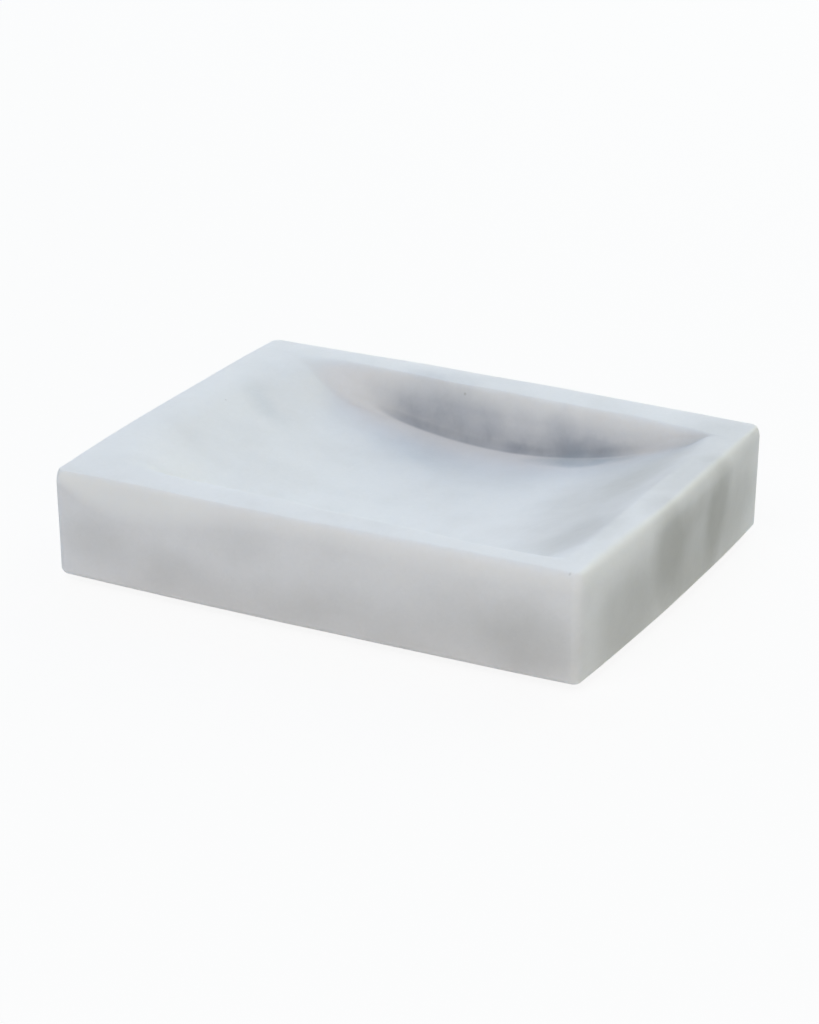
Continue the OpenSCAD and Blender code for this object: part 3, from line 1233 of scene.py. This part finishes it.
def make_marble():
    """The honed stone: its colour, its sheen, its relief and the light inside it."""
    material = bpy.data.materials.new("marble")
    shader = shader_of(material)
    tree = material.node_tree
    place = millimetres(tree)
    # worn sets the sheen of the rubbed edges and their painted highlight
    worn = attribute(tree, "worn")
    crystals = placed(tree, grain, Place=place, Size=CRYSTAL_SIZE)
    holes = all_holes(tree, place)
    feed(tree, shader.inputs["Base Color"], stone_color(tree, place, worn, crystals, holes))
    sanded = patches(tree, place, *SANDED)
    sheen = number(tree, "MULTIPLY_ADD", worn, RUBBED_SHEEN, sanded)
    feed(tree, shader.inputs["Roughness"], sheen)
    ripple = pattern(tree, "Noise", place, RIPPLE_SIZE)["Fac"]
    relief = number(tree, "MULTIPLY_ADD", crystals["Height"], CRYSTAL_RELIEF, ripple)
    relief = number(tree, "MULTIPLY_ADD", holes, HOLE_RELIEF, relief)
    feed(tree, shader.inputs["Normal"], fine_relief(tree, relief))
    light_inside(shader, 1.0, SCATTER_TINT, SCATTER_DEPTH)
    return material


block.data.materials.append(make_marble())
print("marble:", len(block.data.materials[0].node_tree.nodes), "nodes,", len(CLOUDS), "clouds")

# %% [markdown]
# The pads are soft moulded polyurethane, milky and slightly yellow, with a skin that is finely
# textured where it left the mould. They stand in the dish's shadow, where dust gathers at their
# feet. Their texture is the stone's grain group once more, with crystals half as large.

# %% Pads' finish
PAD_MILK = (0.74, 0.75, 0.72)
MILKY = (3.0, 2.0, 0.3, 0.7, 0.94, 1.04)
TEXTURE_SIZE = 0.35
SATIN = (0.1, 0.36)
DUST_COLOR = (0.52, 0.50, 0.47, 1)
DUST_TOP = 0.9
DUST_SHARE = 0.6
DUST_DULLS = 0.3
PAD_LIGHT_WEIGHT = 0.6
PAD_LIGHT_TINT = (1.0, 0.95, 0.85)
PAD_LIGHT_DEPTH = 0.0006


def make_pad_finish():
    """Milky polyurethane with mould texture, cloudy depth and dust at its foot."""
    material = bpy.data.materials.new("pad")
    shader = shader_of(material)
    tree = material.node_tree
    place = millimetres(tree)
    texture = placed(tree, grain, Place=place, Size=TEXTURE_SIZE)
    dust = placed(tree, low_dust, Place=place, Top=DUST_TOP)["Mask"]
    milk = scaled(tree, PAD_MILK, patches(tree, place, *MILKY))
    color = mixed(tree, number(tree, "MULTIPLY", dust, DUST_SHARE), milk, DUST_COLOR)
    feed(tree, shader.inputs["Base Color"], color)
    satin = number(tree, "MULTIPLY_ADD", texture["Tone"], *SATIN)
    feed(tree, shader.inputs["Roughness"], number(tree, "MULTIPLY_ADD", dust, DUST_DULLS, satin))
    feed(tree, shader.inputs["Normal"], fine_relief(tree, texture["Height"]))
    light_inside(shader, PAD_LIGHT_WEIGHT, PAD_LIGHT_TINT, PAD_LIGHT_DEPTH)
    return material


pad_finish = make_pad_finish()
for pad in pads:
    pad.data.materials.append(pad_finish)
print("pad finish:", len(pad_finish.node_tree.nodes), "nodes")

# %% [markdown]
# A product picture is taken on white paper. The sheet carries the dish's soft shadow and throws
# light back up at its sides. It has to look white to the camera even where little light falls,
# so most of what the camera sees of it is a glow of its own. That glow shows on camera rays only:
# to the dish, the sheet is plain paper.

# %% Floor
FLOOR_REACH = 1.5
PAPER = (0.94, 0.94, 0.94, 1)
GLOW_SHARE = 0.9


def to_camera(tree):
    """1 for what the camera sees directly, and 0 for all other light."""
    return tree.nodes.new("ShaderNodeLightPath").outputs["Is Camera Ray"]


def blended(tree, share, usual, shown):
    """A Mix Shader: share of it is shown, and the rest is the usual shader."""
    node = tree.nodes.new("ShaderNodeMixShader")
    for socket, value in zip(node.inputs, (share, usual, shown)):
        feed(tree, socket, value)
    return node.outputs[0]


def make_paper():
    """Matt white paper, which glows to the camera."""
    material = bpy.data.materials.new("paper")
    shader = shader_of(material)
    tree = material.node_tree
    shader.inputs["Base Color"].default_value = PAPER
    shader.inputs["Roughness"].default_value = 1.0
    shader.inputs["Specular IOR Level"].default_value = 0.0
    glow = tree.nodes.new("ShaderNodeEmission")
    share = number(tree, "MULTIPLY", to_camera(tree), GLOW_SHARE)
    seen = blended(tree, share, shader.outputs[0], glow.outputs[0])
    feed(tree, tree.nodes["Material Output"].inputs["Surface"], seen)
    return material


def make_floor():
    """A wide square sheet at z = 0, where the pads stand."""
    r = FLOOR_REACH
    mesh = bpy.data.meshes.new("floor")
    mesh.from_pydata([(-r, -r, 0), (r, -r, 0), (r, r, 0), (-r, r, 0)], [], [(0, 1, 2, 3)])
    mesh.materials.append(make_paper())
    floor = bpy.data.objects.new("floor", mesh)
    bpy.context.scene.collection.objects.link(floor)
    return floor


floor = make_floor()
print("floor:", floor.name, "glow share", GLOW_SHARE)

# %% [markdown]
# The light is read off the stone. The top is bright and cool and hardly shaded, so a wide window
# with sky in it stands behind the dish, a little to its left. The front is softer and a touch
# darker: a lamp high up in front of it. The right end is darkest and warm, because only weak
# lamps and the paper light it. Colours lean blue or yellow by how each lamp was tuned against
# the picture. A weak white world fills the shadows, and the camera sees plain white behind.

# %% Light
LAMP_DISTANCE = 1.2
WORLD_FILL = 0.14
WHITE = (1, 1, 1, 1)
LAMPS = {
    # name: azimuth and elevation in degrees, width and height in metres, watts, colour
    "low_window": (200, 22, (1.6, 0.5), 3.7, (1.0, 1.0, 1.0)),
    "high_window": (200, 50, (1.4, 0.6), 3.6, (0.40, 0.69, 1.0)),
    "back_right_lamp": (155, 30, (0.7, 0.7), 2.3, (1.0, 0.96, 0.46)),
    "front_lamp": (0, 55, (0.8, 0.8), 6.3, (0.915, 0.945, 1.0)),
    "side_lamp": (45, 25, (0.7, 0.7), 0.95, (1.0, 0.72, 0.1)),
    "right_lamp": (110, 60, (0.7, 0.7), 1.9, (0.62, 0.76, 1.0)),
}


def make_world():
    """A weak white fill, which the camera sees as full white."""
    world = bpy.data.worlds.new("studio")
    bpy.context.scene.world = world
    world.use_nodes = True
    tree = world.node_tree
    fill = tree.nodes["Background"]
    white = tree.nodes.new("ShaderNodeBackground")
    for background, strength in ((fill, WORLD_FILL), (white, 1.0)):
        background.inputs["Color"].default_value = WHITE
        background.inputs["Strength"].default_value = strength
    seen = blended(tree, to_camera(tree), fill.outputs[0], white.outputs[0])
    feed(tree, tree.nodes["World Output"].inputs["Surface"], seen)
    return world


def soft_box(name, azimuth, elevation, size, power, color):
    """A rectangular lamp that faces the dish. Azimuth 0 is the front and 90 the right end."""
    a, e = math.radians(azimuth), math.radians(elevation)
    place = Vector((math.sin(a) * math.cos(e), -math.cos(a) * math.cos(e), math.sin(e)))
    data = bpy.data.lights.new(name, "AREA")
    data.shape = "RECTANGLE"
    data.size, data.size_y = size
    data.energy = power
    data.color = color
    lamp = bpy.data.objects.new(name, data)
    lamp.location = place * LAMP_DISTANCE
    lamp.rotation_euler = place.to_track_quat("Z", "Y").to_euler()
    bpy.context.scene.collection.objects.link(lamp)
    return lamp


make_world()
lamps = [soft_box(name, *lamp) for name, lamp in LAMPS.items()]
bpy.context.scene.view_settings.view_transform = "Standard"
print("lamps:", [lamp.name for lamp in lamps])
